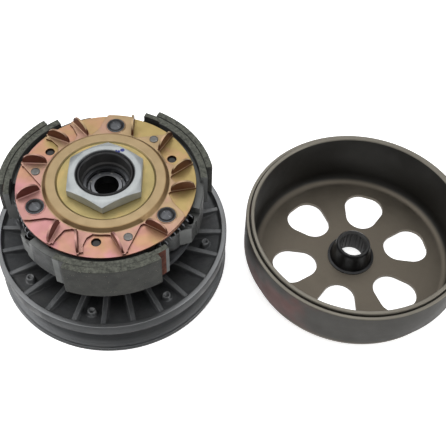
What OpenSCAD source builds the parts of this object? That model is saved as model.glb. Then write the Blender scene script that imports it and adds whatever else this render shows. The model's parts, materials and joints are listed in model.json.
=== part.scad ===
// Driven pulley with centrifugal clutch, standing on its fixed sheave, and the clutch bell beside it.
// The pulley axis is Z, the table plane is z = 0, and the bell stands on the +X side, mouth up.

/* [Pulley] */
// Outer radius of both sheaves
sheave_r = 74; // [70:0.5:78]
// Half angle of the belt groove, in degrees
groove_angle = 14; // [12:0.5:15]
// Height of the plane where the closed sheaves meet
meet_z = 12; // [11:0.5:13]
// Radius where the belt faces start
face_start_r = 38; // [36:1:42]
// Number of radial ribs on the movable sheave
rib_count = 24; // [12:1:30]
// Travel of the movable sheave
sheave_travel = 9; // [4:0.5:9]

/* [Hub] */
// Outer radius of the hub tube
tube_r = 20.49; // [20:0.01:21]
// Inner radius of the hub tube
tube_bore_r = 13; // [12.5:0.1:13.5]
// Bore radius of the ball bearing
bearing_bore_r = 7.5; // [7.5:0.1:8.5]

/* [Clutch] */
// Outer radius of the linings at rest
lining_r = 65.5; // [63:0.1:65.6]
// Outer radius of the two front plates
plate_r = 54.4; // [52:0.1:55]
// Radius of the pivot pin circle
pivot_r = 44.8; // [44:0.1:46]
// Direction of the first pivot pin, in degrees
pivot_angle = 88.7; // [0:0.1:120]
// Width of the nut across its flats
nut_flats = 44; // [41:0.5:46]

/* [Bell] */
// Inside radius of the bell
bell_r = 67; // [67:0.1:68]
// Height of the bell
bell_h = 44.1; // [40:0.1:46]
// Place of the bell's axis
bell_axis = [158.4, 4.8];
// Radius of the bell's centre bore
bell_bore_r = 8.5; // [7.5:0.1:8.5]

/* [Hidden] */
$fn = 96;
eps = 0.01;
turn = [0, 120, 240];
slope = tan(groove_angle);

// fixed sheave: a coned disc whose rim is its foot
rim_edge = 3;
web = 4.6;
face_rise = (sheave_r - face_start_r) * slope;
boss_r = 26;

// movable sheave
sheave_gap = 0.2;
dish_z = meet_z + sheave_gap;
dish_web = 3.6;
rim_top = 29.4;
rim_wall = 3.4;
floor_edge_z = 25.4;
rib_t = 2.8;
rib_start_r = 34.6;
rib_top = 27.4;
rib_angle = 2;
rib_pitch = 360 / rib_count;
balance_r = 60.8;
balance_boss_r = 2.6;
balance_hole_r = 1.3;
deck_z = 20;
deck_r = 34;

// ball bearing
bearing_outer_r = 14;
bearing_z = 66;
bearing_h = 7;
ball_r = 2.4;
ball_circle = 10.75;
ball_count = 9;

// torque cam
cam_bore_r = tube_r + 0.05;
cam_r = 24.5;
cam_top = 35;
pin_r = 3;
pin_reach = 24;
pin_z = 29.4;
slot_r = pin_r + 0.18;
slot_steps = 18;
cam_turn = 45 * sheave_travel / 1000 * 180 / PI;
pin_angle = 30;
seal_z = [dish_z + 1, cam_top - 2];
seal_h = 1.2;
seal_depth = 1.2;

// seal collar, spring and its seats
collar_r = 26;
collar_top = 36.4;
collar_bore_r = cam_r + 0.04;
o_ring_z = [deck_z + 0.6, cam_top - 1.2];
o_ring_h = 1.2;
o_ring_r = cam_r + 0.7;
seat_top = 21.4;
seat_in = 26.4;
seat_out = 33.4;
spring_wire_r = 2.1;
spring_r = 30;
spring_top = 44.5;
spring_turns = 2.6;

// clutch heights
carrier_z = 46.5;
carrier_top = 50;
shoe_z = 51;
lining_z = 51.5;
lining_top = 76.5;
shoe_rim_top = 76;
shoe_top = 71.5;
plate_z = 73.9;
plate_t = 1.5;
fan_z = plate_z + plate_t;
fan_top = fan_z + plate_t;

// clutch shoes, in degrees from their own pivot pin
shoe_in_r = 37;
shoe_rim_r = 57;
shoe_out_r = 61.4;
shoe_arm_r = 58.8;
arm_start = 12;
rim_start = 38;
lining_start = 45;
lining_end = 96.5;
shoe_end = 104;
pivot_pin_r = 4.4;
pivot_fit = 0.05;
step_z = 66;
shoe_boss_r = 8.6;
hook_r = 54.4;
hook_out = 100;
hook_in = 134;
hook_hole_r = 2;
post_r = 43.6;
post_at = 60.3;
post_pin_r = 4;
rivet_r = 43.6;
rivet_at = -35.1;
rubber_r = 6.4;
rubber_room = 9;

// lightening holes of a shoe and of the carrier: [angle, radius, hole radius], from the pivot pin
SHOE_HOLES = [[82, 46, 4.5], [31, 48, 6]];
CARRIER_HOLES = [[28, 40, 7], [92, 40, 7]];

// front plates
ring_foot_r = 37.6;
ring_top_r = 36;
ring_in_r = 30.4;
recess_r = 29.6;
ring_h = 2.3;
recess_h = 1.1;
fin_r = 7.3;
fin_t = 1.2;
nut_z = fan_top + recess_h;
nut_top = 85.4;
nut_angle = 32.2;
thread_r = 17.2;
tube_top = 84.6;

// fins: [start radius, start angle, end radius, end angle] of each fold line, from the pivot pin
FOLDS = [[39.6, 23.2, 55, 29.5], [39.6, 41.2, 55, 50.1], [39.6, 71.6, 55, 77.7], [39.6, 102.2, 55, 108.4]];
// windows beside the fins: [radius, angle] of each corner before the fold line
WINDOWS = [
    [[58, 4], [51.2, 8.6], [43.4, 13.4], [38.8, 21.4]],
    [[58, 31.5], [51, 32.6], [42, 33.2], [38.9, 38.8]],
    [[58, 51], [42.2, 52.8], [38.6, 57.5]],
    [[58, 77.6], [38.7, 99.8]]
];

// bell
bell_wall = 2.5;
bell_floor = 2.5;
bell_corner = 9;
band_z = 15;
band_top = 42.4;
band_r = 72.5;
hub_top = 16.5;
hub_top_r = 11.2;
hub_foot_r = 15.5;
vent_angle = 14.4;

function polar(r, a) = [r * cos(a), r * sin(a)];

// a flat ring standing on z
module ring(r_out, r_in, z, h) {
    translate([0, 0, z]) difference() {
        cylinder(r = r_out, h = h);
        translate([0, 0, -1]) cylinder(r = r_in, h = h + 2);
    }
}

// a sector of a flat ring between two angles, as a 2D shape
module sector(r_out, r_in, a0, a1) {
    steps = 8;
    far = r_out * 1.3;
    intersection() {
        difference() {
            circle(r = r_out, $fn = 180);
            circle(r = r_in, $fn = 180);
        }
        polygon([[0, 0], for (i = [0:steps]) polar(far, a0 + (a1 - a0) * i / steps)]);
    }
}

// three copies about the pulley axis, the first in line with the first pivot pin
module by_pivot() {
    for (t = turn) rotate([0, 0, pivot_angle + t]) children();
}

module fixed_sheave() {
    rim_face = meet_z - face_rise;
    color("dimgray") rotate_extrude($fn = 180) polygon([
        [tube_r, 1], [boss_r, 1], [boss_r, meet_z - web], [face_start_r, meet_z - web],
        [sheave_r - 1.5, 0], [sheave_r - 0.3, 0], [sheave_r, 0.3], [sheave_r, rim_face - 0.3],
        [sheave_r - 0.3, rim_face], [face_start_r, meet_z], [tube_r, meet_z]
    ]);
}

module hub_tube() {
    color("silver") difference() {
        rotate_extrude() polygon([
            [tube_bore_r, 1], [tube_r, 1], [tube_r, carrier_z], [thread_r, carrier_z],
            [thread_r, tube_top - 0.8], [thread_r - 0.8, tube_top], [15.2, tube_top], [15, tube_top - 0.3],
            [15, 77], [bearing_outer_r, 76.4], [bearing_outer_r, bearing_z],
            [tube_bore_r, bearing_z]
        ]);
        for (t = turn) rotate([0, 90, pin_angle + t]) translate([-pin_z, 0, 0]) cylinder(r = pin_r, h = 30);
        ring(bearing_outer_r + 1, bearing_outer_r - 1, 73.4, 1.3);
    }
}

module cam_guide_pins() {
    color("silver") for (t = turn)
        rotate([0, 90, pin_angle + t]) translate([-pin_z, 0, 14.2]) cylinder(r = pin_r, h = pin_reach - 14.2);
}

module ball_groove() {
    translate([0, 0, bearing_z + bearing_h / 2]) rotate_extrude()
        translate([ball_circle, 0]) circle(r = ball_r + 0.04, $fn = 48);
}

module ball_bearing_outer_ring() {
    color("lightsteelblue") difference() {
        ring(bearing_outer_r, 12.1, bearing_z, bearing_h);
        ball_groove();
    }
}

module ball_bearing_inner_ring() {
    color("lightsteelblue") difference() {
        ring(9.4, bearing_bore_r, bearing_z, bearing_h);
        ball_groove();
    }
}

module bearing_balls() {
    color("white") for (i = [0:ball_count - 1])
        rotate([0, 0, i * 360 / ball_count]) translate([ball_circle, 0, bearing_z + bearing_h / 2])
            sphere(r = ball_r, $fn = 48);
}

module bearing_cage() {
    color("goldenrod") difference() {
        ring(11.5, 10, bearing_z + 1.2, bearing_h - 2.4);
        for (i = [0:ball_count - 1])
            rotate([0, 0, i * 360 / ball_count]) translate([ball_circle, 0, bearing_z + bearing_h / 2])
                sphere(r = ball_r + 0.03, $fn = 48);
    }
}

module bearing_circlip() {
    color("dimgray") difference() {
        ring(bearing_outer_r + 0.9, 12.3, 73.5, 1.1);
        translate([0, -2.5, 73]) cube([20, 5, 3]);
    }
}

module needle_bearing_cup() {
    color("lightsteelblue") difference() {
        ring(tube_bore_r, 9.2, 3, 16);
        ring(11.8, 8, 4.2, 13.6);
    }
}

module needle_rollers() {
    color("silver") {
        for (i = [0:13])
            rotate([0, 0, i * 360 / 14]) translate([10.7, 0, 4.6]) cylinder(r = 1.05, h = 12.8, $fn = 24);
        ring(11, 10.4, 4.6, 1.2);
        ring(11, 10.4, 16.2, 1.2);
    }
}

module shaft_seal() {
    color("black") rotate_extrude() polygon([
        [tube_bore_r, 19.2], [tube_bore_r, 22.6], [10, 22.6], [8.4, 20.4], [8.4, 19.8], [9.6, 20.6],
        [10.6, 21.4], [12, 21.4], [12, 19.2]
    ]);
}

module movable_sheave() {
    face_edge = dish_z + face_rise;
    color("gray") difference() {
        union() {
            rotate_extrude($fn = 180) polygon([
                [cam_r, dish_z], [face_start_r, dish_z], [sheave_r - 0.3, face_edge], [sheave_r, face_edge + 0.3],
                [sheave_r, rim_top - 0.6], [sheave_r - 0.6, rim_top], [sheave_r - rim_wall + 0.4, rim_top],
                [sheave_r - rim_wall, rim_top - 0.4], [sheave_r - rim_wall - 0.8, floor_edge_z],
                [face_start_r, dish_z + dish_web], [deck_r + 0.4, dish_z + dish_web], [deck_r, deck_z],
                [cam_r, deck_z]
            ]);
            for (i = [0:rib_count - 1]) rotate([0, 0, rib_angle + i * rib_pitch]) rib();
            for (i = [0:3:rib_count - 1]) rotate([0, 0, rib_angle + (i - 0.5) * rib_pitch])
                translate([balance_r, 0, rib_top - 6]) cylinder(r = balance_boss_r, h = 5.2);
        }
        for (i = [0:3:rib_count - 1]) rotate([0, 0, rib_angle + (i - 0.5) * rib_pitch])
            translate([balance_r, 0, rib_top - 2.2]) cylinder(r = balance_hole_r, h = 5);
    }
}

// one stiffening rib of the movable sheave, along +X
module rib() {
    rib_out = sheave_r - rim_wall + 0.2;
    translate([0, rib_t / 2, 0]) rotate([90, 0, 0]) linear_extrude(rib_t) polygon([
        [rib_start_r - 1, dish_z + 2], [face_start_r, dish_z + 2], [rib_out, dish_z + 2 + face_rise * 0.9],
        [rib_out, rib_top], [rib_start_r + 16, rib_top], [rib_start_r, deck_z + 1.4],
        [rib_start_r - 1, deck_z - 0.5]
    ]);
}

module cam_sleeve() {
    color("silver") difference() {
        ring(cam_r, cam_bore_r, dish_z, cam_top - dish_z);
        for (t = turn, i = [0:slot_steps])
            rotate([0, 90, pin_angle + t - cam_turn * i / slot_steps])
                translate([-pin_z + sheave_travel * i / slot_steps, 0, 18]) cylinder(r = slot_r, h = 10);
        for (z = seal_z) ring(cam_bore_r + seal_depth, cam_bore_r - 1, z, seal_h);
    }
}

module grease_seals() {
    color("black") for (z = seal_z) ring(cam_bore_r + seal_depth, cam_bore_r + 0.02, z, seal_h);
}

module seal_collar() {
    color("gray") difference() {
        ring(collar_r, collar_bore_r, deck_z, collar_top - deck_z);
        for (z = o_ring_z) ring(o_ring_r, cam_r - 1, z, o_ring_h);
    }
}

module collar_o_rings() {
    color("black") for (z = o_ring_z) ring(o_ring_r, collar_bore_r, z, o_ring_h);
}

module lower_spring_seat() {
    color("dimgray") union() {
        ring(seat_out, seat_in, deck_z + 0.1, seat_top - deck_z - 0.1);
        ring(27.4, seat_in, seat_top, 1.6);
    }
}

// the torque spring, wound between its two seats
module main_spring() {
    steps = 64;
    sides = 8;
    low = seat_top + spring_wire_r;
    rise = spring_top - seat_top - 2 * spring_wire_r;
    // the first and last quarter turns lie flat on the seats
    function lift(u) = min(1, max(0, (u * (spring_turns + 0.5) - 0.25) / spring_turns));
    points = [for (i = [0:steps], k = [0:sides - 1])
        let (u = i / steps, a = 360 * (spring_turns + 0.5) * u, c = 360 * k / sides,
            r = spring_r + (spring_wire_r - 0.05) * cos(c))
        [r * cos(a), r * sin(a), low + rise * lift(u) + (spring_wire_r - 0.05) * sin(c)]];
    sides_faces = [for (i = [0:steps - 1], k = [0:sides - 1])
        [i * sides + k, (i + 1) * sides + k, (i + 1) * sides + (k + 1) % sides, i * sides + (k + 1) % sides]];
    ends = [[for (k = [0:sides - 1]) k], [for (k = [sides - 1:-1:0]) steps * sides + k]];
    color("darkslategray") polyhedron(points, concat(sides_faces, ends), convexity = 8);
}

module upper_spring_seat() {
    color("dimgray") ring(seat_out, seat_in, spring_top, carrier_z - spring_top);
}

module clutch_carrier() {
    color("dimgray") difference() {
        translate([0, 0, carrier_z]) cylinder(r = 56, h = carrier_top - carrier_z, $fn = 180);
        translate([0, 0, carrier_z - 1]) cylinder(r = thread_r + 0.02, h = 6);
        by_pivot() {
            translate([pivot_r, 0, carrier_z - 1]) cylinder(r = pivot_pin_r, h = 6);
            rotate([0, 0, post_at]) translate([post_r, 0, carrier_z - 1]) cylinder(r = post_pin_r, h = 6);
            for (h = CARRIER_HOLES)
                rotate([0, 0, h[0]]) translate([h[1], 0, carrier_z - 1]) cylinder(r = h[2], h = 6);
        }
    }
}

module pivot_pins() {
    color("slategray") by_pivot() translate([pivot_r, 0, 0]) rotate_extrude($fn = 60) polygon([
        [0, carrier_z - 0.6], [pivot_pin_r - 0.6, carrier_z - 0.6], [pivot_pin_r, carrier_z],
        [pivot_pin_r, fan_top - 0.5], [pivot_pin_r - 0.9, fan_top + 0.2], [3, fan_top + 0.2],
        for (a = [0:15:90]) [3 * cos(a), fan_top + 0.2 + 1.1 * sin(a)]
    ]);
}

module damper_posts() {
    color("slategray") by_pivot() rotate([0, 0, post_at]) translate([post_r, 0, carrier_z]) {
        cylinder(r = post_pin_r, h = plate_z - 1.5 - carrier_z);
        cylinder(r = 2.2, h = plate_z - carrier_z);
    }
}

module rubber_dampers() {
    color("black") by_pivot() rotate([0, 0, post_at]) translate([post_r, 0, 0])
        ring(rubber_r, post_pin_r, carrier_top + 1.5, 19);
}

// one clutch shoe, from the direction of its own pivot pin
module shoe() {
    color("dimgray") difference() {
        union() {
            // web, arm and boss
            translate([0, 0, shoe_z]) linear_extrude(shoe_top - shoe_z) union() {
                sector(shoe_arm_r, shoe_in_r, arm_start, shoe_end);
                translate([pivot_r, 0]) circle(r = shoe_boss_r);
                polygon([polar(37.8, 5), polar(52.6, 0), polar(58.4, 7), polar(58.4, 16), polar(38.4, 16)]);
            }
            // rim that carries the lining
            translate([0, 0, lining_z]) linear_extrude(shoe_rim_top - lining_z)
                sector(shoe_out_r, shoe_rim_r, rim_start, shoe_end - 0.5);
        }
        translate([pivot_r, 0, shoe_z - 1]) cylinder(r = pivot_pin_r + pivot_fit, h = 30);
        // room for the rubber damper, open towards the axis
        rotate([0, 0, post_at]) {
            translate([post_r, 0, shoe_z - 1]) cylinder(r = rubber_room, h = 30);
            translate([post_r - 20, 1.5 - rubber_room, shoe_z - 1]) cube([20, 2 * rubber_room - 3, 30]);
        }
        // steps that the return springs lie over
        translate([0, 0, step_z]) linear_extrude(20) {
            sector(70, 30, -14, 18);
            sector(shoe_rim_r + 1, 30, 92, 107);
        }
        // hook hole of this shoe's own return spring
        rotate([0, 0, hook_out]) translate([hook_r, 0, shoe_z - 1]) cylinder(r = hook_hole_r, h = 30);
        // long hole where the hook of the spring before it slides as the shoes open
        translate([0, 0, shoe_z - 1]) linear_extrude(30) hull() {
            translate(polar(hook_r, hook_in - 120)) circle(r = hook_hole_r, $fn = 32);
            translate(polar(hook_r + 1, hook_in - 123)) circle(r = hook_hole_r, $fn = 32);
        }
        for (h = SHOE_HOLES) rotate([0, 0, h[0]]) translate([h[1], 0, shoe_z - 1]) cylinder(r = h[2], h = 30);
    }
}

module lining() {
    color("darkslategray") translate([0, 0, lining_z]) linear_extrude(lining_top - lining_z)
        sector(lining_r, shoe_out_r, lining_start, lining_end);
}

// coil spring from this shoe's tail to the next shoe's arm, from this shoe's own pivot pin
module return_spring() {
    turns = 8;
    steps = 80;
    sides = 6;
    wire = 0.5;
    coil_r = 2;
    coil_z = step_z + 3.2;
    hook_h = 7;
    from = polar(hook_r, hook_out);
    to = polar(hook_r, hook_in);
    span = norm(to - from);
    // both ends of the coil are at its underside, where the hooks start
    function angle(u) = 360 * turns * u - 90;
    points = [for (i = [0:steps], k = [0:sides - 1])
        let (u = i / steps, c = 360 * k / sides, r = coil_r + wire * cos(c))
        [span * u + wire * sin(c), r * cos(angle(u)), r * sin(angle(u))]];
    sides_faces = [for (i = [0:steps - 1], k = [0:sides - 1])
        [i * sides + k, i * sides + (k + 1) % sides, (i + 1) * sides + (k + 1) % sides, (i + 1) * sides + k]];
    ends = [[for (k = [sides - 1:-1:0]) k], [for (k = [0:sides - 1]) steps * sides + k]];
    color("silver") translate([from.x, from.y, coil_z]) rotate([0, 0, atan2(to.y - from.y, to.x - from.x)]) {
        polyhedron(points, concat(sides_faces, ends), convexity = 12);
        for (x = [0, span]) translate([x, 0, -hook_h]) cylinder(r = wire, h = hook_h - coil_r, $fn = 12);
    }
}

module front_plate() {
    color("burlywood") difference() {
        translate([0, 0, plate_z]) cylinder(r = plate_r, h = plate_t, $fn = 180);
        translate([0, 0, plate_z - 1]) cylinder(r = thread_r + 0.1, h = 4);
        by_pivot() {
            translate([pivot_r, 0, plate_z - 1]) cylinder(r = pivot_pin_r, h = 4);
            rotate([0, 0, post_at]) translate([post_r, 0, plate_z - 1]) cylinder(r = 2.8, h = 4);
            rotate([0, 0, rivet_at]) translate([rivet_r, 0, plate_z - 1]) cylinder(r = 2, h = 4);
        }
    }
}

// outline of a window, cut back to its fold line
module window_shape(n) {
    f = FOLDS[n];
    foot = polar(f[0], f[1]);
    head = polar(f[2], f[3]);
    polygon([for (p = WINDOWS[n]) polar(p[0], p[1]), foot, foot + 1.25 * (head - foot)]);
}

// a D-shaped fin, standing on its fold line
module fin(n) {
    f = FOLDS[n];
    foot = polar(f[0], f[1]);
    head = polar(f[2], f[3]);
    middle = (foot + head) / 2;
    translate([middle.x, middle.y, fan_z + 0.3])
        rotate([0, 0, atan2(head.y - foot.y, head.x - foot.x)])
            translate([-0.4, fin_t + 0.15, 0]) rotate([90, 0, 0]) linear_extrude(fin_t) intersection() {
                circle(r = fin_r);
                translate([-fin_r, 0]) square([2 * fin_r, fin_r]);
            }
}

module fan_plate() {
    color("tan") difference() {
        union() {
            rotate_extrude($fn = 180) polygon([
                [thread_r + 0.1, fan_z + recess_h], [recess_r, fan_z + recess_h], [ring_in_r, fan_z + ring_h],
                [ring_top_r - 1.2, fan_z + ring_h], [ring_foot_r - 1.2, fan_z],
                [plate_r, fan_z], [plate_r, fan_top],
                [ring_foot_r, fan_top], [ring_top_r, fan_top + ring_h], [ring_in_r, fan_top + ring_h],
                [recess_r, fan_top + ring_h - 0.4], [recess_r, nut_z], [thread_r + 0.1, nut_z]
            ]);
            by_pivot() translate([pivot_r, 0, fan_z]) cylinder(r = 6.1, h = plate_t + 0.35);
        }
        by_pivot() {
            for (n = [0:3]) translate([0, 0, fan_z - 1]) linear_extrude(4.5) window_shape(n);
            translate([pivot_r, 0, fan_z - 1]) cylinder(r = pivot_pin_r, h = 4);
            rotate([0, 0, rivet_at]) translate([rivet_r, 0, fan_z - 1]) cylinder(r = 2, h = 4);
        }
    }
    color("saddlebrown") by_pivot() for (n = [0:3]) fin(n);
}

module plate_rivets() {
    color("gray") by_pivot() rotate([0, 0, rivet_at]) translate([rivet_r, 0, 0]) rotate_extrude($fn = 48) polygon([
        [0, plate_z - 0.6], [2.6, plate_z - 0.6], [2.6, plate_z], [2, plate_z], [2, fan_top], [2.5, fan_top],
        [2.5, fan_top + 0.2], [1.8, fan_top + 0.6], [0, fan_top + 0.7]
    ]);
}

module clutch_nut() {
    corner_r = nut_flats / 2 / cos(30);
    h = nut_top - nut_z;
    color("gainsboro") translate([0, 0, nut_z]) rotate([0, 0, nut_angle]) difference() {
        intersection() {
            cylinder(r = corner_r, h = h, $fn = 6);
            cylinder(r1 = corner_r + h - 1.9, r2 = corner_r - 1.9, h = h, $fn = 120);
        }
        translate([0, 0, -1]) cylinder(r = thread_r, h = h + 2);
        translate([0, 0, h - 0.6]) cylinder(r1 = thread_r, r2 = thread_r + 0.9, h = 0.9);
    }
}

// places a piece on the bell's own axis
module on_bell() {
    translate([bell_axis.x, bell_axis.y, 0]) children();
}

// rounded-triangle vent in the bell's floor
module vent() {
    hull() {
        for (y = [-4.6, 4.6]) translate([44, y]) circle(r = 9, $fn = 32);
        translate([31, 0]) circle(r = 8.2, $fn = 32);
    }
}

module bell_drum() {
    outer = bell_r + bell_wall;
    bend_in = bell_corner - bell_wall;
    color("dimgray") on_bell() difference() {
        rotate_extrude($fn = 180) polygon([
            [12, 0],
            for (a = [-90:10:0])
                [outer - bell_corner + bell_corner * cos(a), bell_corner + bell_corner * sin(a)],
            [outer, bell_h], [bell_r, bell_h],
            for (a = [0:-10:-90])
                [bell_r - bend_in + bend_in * cos(a), bell_floor + bend_in + bend_in * sin(a)],
            [12, bell_floor]
        ]);
        for (i = [0:5]) rotate([0, 0, vent_angle + i * 60]) translate([0, 0, -1]) linear_extrude(5) vent();
    }
}

module bell_band() {
    color("gray") on_bell() rotate_extrude($fn = 180) polygon([
        [bell_r + bell_wall, band_z], [band_r - 0.6, band_z], [band_r, band_z + 0.6],
        [band_r, band_top - 0.5], [band_r - 0.5, band_top], [bell_r + bell_wall + 0.5, band_top],
        [bell_r + bell_wall, band_top - 0.6]
    ]);
}

module bell_hub() {
    color("black") on_bell() rotate_extrude() polygon([
        [bell_bore_r, 0], [12, 0], [12, bell_floor], [hub_foot_r, bell_floor], [hub_foot_r, bell_floor + 1],
        [hub_top_r, hub_top - 0.8], [hub_top_r - 0.8, hub_top], [bell_bore_r + 0.8, hub_top],
        [bell_bore_r, hub_top - 0.8]
    ]);
}

fixed_sheave();
hub_tube();
cam_guide_pins();
ball_bearing_outer_ring();
ball_bearing_inner_ring();
bearing_balls();
bearing_cage();
bearing_circlip();
needle_bearing_cup();
needle_rollers();
shaft_seal();
movable_sheave();
cam_sleeve();
seal_collar();
collar_o_rings();
grease_seals();
lower_spring_seat();
main_spring();
upper_spring_seat();
clutch_carrier();
pivot_pins();
damper_posts();
rubber_dampers();
rotate([0, 0, pivot_angle]) shoe();  // clutch_shoe_1
rotate([0, 0, pivot_angle + 120]) shoe();  // clutch_shoe_2
rotate([0, 0, pivot_angle + 240]) shoe();  // clutch_shoe_3
rotate([0, 0, pivot_angle]) lining();  // lining_1
rotate([0, 0, pivot_angle + 120]) lining();  // lining_2
rotate([0, 0, pivot_angle + 240]) lining();  // lining_3
rotate([0, 0, pivot_angle]) return_spring();  // return_spring_1
rotate([0, 0, pivot_angle + 120]) return_spring();  // return_spring_2
rotate([0, 0, pivot_angle + 240]) return_spring();  // return_spring_3
front_plate();
fan_plate();
plate_rivets();
clutch_nut();
bell_drum();
bell_band();
bell_hub();
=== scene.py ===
"""Looks of the driven CVT pulley, its centrifugal clutch and the clutch bell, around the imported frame."""
import json
import math

import bmesh
import bpy
from mathutils import Matrix, Vector, noise


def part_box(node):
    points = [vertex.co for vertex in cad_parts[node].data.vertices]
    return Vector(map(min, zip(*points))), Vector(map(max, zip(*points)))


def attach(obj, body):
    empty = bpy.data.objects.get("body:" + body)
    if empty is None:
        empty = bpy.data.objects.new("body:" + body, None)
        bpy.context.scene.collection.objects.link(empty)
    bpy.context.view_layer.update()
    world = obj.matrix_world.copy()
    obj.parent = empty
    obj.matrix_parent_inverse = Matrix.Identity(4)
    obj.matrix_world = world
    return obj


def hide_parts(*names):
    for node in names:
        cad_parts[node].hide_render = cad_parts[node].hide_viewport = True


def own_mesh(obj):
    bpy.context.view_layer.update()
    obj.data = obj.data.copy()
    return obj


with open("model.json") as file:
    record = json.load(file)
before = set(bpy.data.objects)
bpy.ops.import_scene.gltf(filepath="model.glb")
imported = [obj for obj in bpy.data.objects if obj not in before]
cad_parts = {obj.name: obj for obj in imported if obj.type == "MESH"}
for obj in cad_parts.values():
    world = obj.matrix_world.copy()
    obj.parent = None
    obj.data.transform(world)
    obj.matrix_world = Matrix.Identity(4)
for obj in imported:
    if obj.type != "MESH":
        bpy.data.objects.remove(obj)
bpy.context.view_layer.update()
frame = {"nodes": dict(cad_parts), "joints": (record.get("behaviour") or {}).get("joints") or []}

MM = 0.001
TURN = 2 * math.pi
THIRDS = (0, 120, 240)


# ---------------------------------------------------------------- sizes, in mm, from the frame

def span(node):
    """Lowest and highest corner of a CAD node, in mm."""
    low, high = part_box(node)
    return low / MM, high / MM


def radius_of(node):
    """Half the width of a round CAD node, in mm."""
    low, high = span(node)
    return (high.x - low.x) / 2


def joint(name):
    return next(j for j in frame["joints"] if j["name"] == name)


sheave_r = 74.0
dish_low, dish_high = span("movable_sheave")
rim_top = dish_high.z
meet_z = span("fixed_sheave")[1].z
plate_r = radius_of("front_plate")
plate_low, plate_high = span("front_plate")
plate_t = plate_high.z - plate_low.z
fan_z = plate_high.z
fan_top = fan_z + plate_t
tube_top = span("hub_tube")[1].z
nut_low, nut_high = span("clutch_nut")
lining_low, lining_high = span("lining_2")
shoe_low, shoe_high = span("clutch_shoe_1")
pivot = Vector(joint("shoe_1_swing")["pos_m"]) / MM
pivot_r = math.hypot(pivot.x, pivot.y)
pivot_angle = math.degrees(math.atan2(pivot.y, pivot.x))
bell_x, bell_y, _ = [v / MM for v in joint("bell_spin")["pos_m"]]
bell_outer = radius_of("bell_drum")
bell_top = span("bell_drum")[1].z
band_low, band_high = span("bell_band")
band_r = radius_of("bell_band")
hub_top = span("bell_hub")[1].z

slope = math.tan(math.radians(14))
face_start_r = 38.0
web_rise = 3.6

# radius where the return springs hook in, and the angles of both hooks from the spring's own pivot pin
HOOK_R, HOOK_FROM, HOOK_TO = 54.4, 100, 134
# faces of the linings and of the shoe rims that carry them
RIM_IN, RIM_OUT, LINING_OUT = 57.0, 61.38, 65.48
BOND_AT, BOND_REACH = 99, 3.2


def polar(r, degrees, centre=(0.0, 0.0)):
    a = math.radians(degrees)
    return Vector((centre[0] + r * math.cos(a), centre[1] + r * math.sin(a)))


# ---------------------------------------------------------------- mesh tools

def from_mesh(name, vertices, faces, smooth=True):
    """A mesh object from points in mm."""
    mesh = bpy.data.meshes.new(name)
    mesh.from_pydata([[c * MM for c in v] for v in vertices], [], faces)
    bm = bmesh.new()
    bm.from_mesh(mesh)
    bmesh.ops.remove_doubles(bm, verts=bm.verts, dist=1e-7)
    bmesh.ops.recalc_face_normals(bm, faces=bm.faces)
    bm.to_mesh(mesh)
    bm.free()
    obj = bpy.data.objects.new(name, mesh)
    bpy.context.scene.collection.objects.link(obj)
    if smooth:
        mesh.polygons.foreach_set("use_smooth", [True] * len(mesh.polygons))
    return obj


def soften(points, radius, steps=4):
    """A closed outline with each corner rounded to about that radius."""
    out = []
    count = len(points)
    for i, corner in enumerate(points):
        corner = Vector(corner)
        back = Vector(points[i - 1]) - corner
        ahead = Vector(points[(i + 1) % count]) - corner
        if back.length < 1e-6 or ahead.length < 1e-6:
            continue
        turn = back.angle(ahead)
        if turn > math.radians(172) or radius <= 0:
            out.append(corner)
            continue
        reach = min(radius / math.tan(turn / 2), back.length * 0.45, ahead.length * 0.45)
        a = corner + back.normalized() * reach
        b = corner + ahead.normalized() * reach
        for k in range(steps + 1):
            t = k / steps
            out.append(a * (1 - t) ** 2 + corner * 2 * t * (1 - t) + b * t ** 2)
    return out


def turned(name, profile, columns=192, centre=(0.0, 0.0)):
    """A closed ring whose section may change with the angle: profile(angle) gives its (r, z) points.
    columns is a count, or the list of angles in radians."""
    angles = [TURN * k / columns for k in range(columns)] if isinstance(columns, int) else columns
    vertices, faces = [], []
    rows = 0
    for a in angles:
        section = profile(a)
        rows = len(section)
        for point in section:
            r, z = point[0], point[1]
            shift = point[2] if len(point) > 2 else 0.0
            vertices.append((centre[0] + r * math.cos(a + shift), centre[1] + r * math.sin(a + shift), z))
    count = len(angles)
    for i in range(count):
        for j in range(rows):
            faces.append((i * rows + j, ((i + 1) % count) * rows + j,
                          ((i + 1) % count) * rows + (j + 1) % rows, i * rows + (j + 1) % rows))
    return from_mesh(name, vertices, faces)


def lathe(name, points, corner=0.3, columns=192, centre=(0.0, 0.0), steps=4):
    """A ring turned from one closed (r, z) outline with rounded corners."""
    section = [tuple(p) for p in soften(points, corner, steps)]
    return turned(name, lambda a: section, columns, centre)


def plug(name, points, corner=0.3, columns=64, centre=(0.0, 0.0)):
    """A solid turned from an (r, z) outline that starts and ends on the axis."""
    inner = soften(points, corner)
    section = [p for p in inner if p[0] > 1e-4]
    vertices, faces = [], []
    rows = len(section)
    for i in range(columns):
        a = TURN * i / columns
        for r, z in section:
            vertices.append((centre[0] + r * math.cos(a), centre[1] + r * math.sin(a), z))
    foot, head = len(vertices), len(vertices) + 1
    vertices += [(centre[0], centre[1], points[0][1]), (centre[0], centre[1], points[-1][1])]
    for i in range(columns):
        n = (i + 1) % columns
        for j in range(rows - 1):
            faces.append((i * rows + j, n * rows + j, n * rows + j + 1, i * rows + j + 1))
        faces.append((foot, n * rows, i * rows))
        faces.append((head, i * rows + rows - 1, n * rows + rows - 1))
    return from_mesh(name, vertices, faces)


def arc(r, start, end, centre=(0.0, 0.0), step=3.0):
    """Points along an arc between two angles in degrees."""
    count = max(2, int(abs(end - start) / step) + 1)
    return [polar(r, start + (end - start) * k / (count - 1), centre) for k in range(count)]


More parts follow.
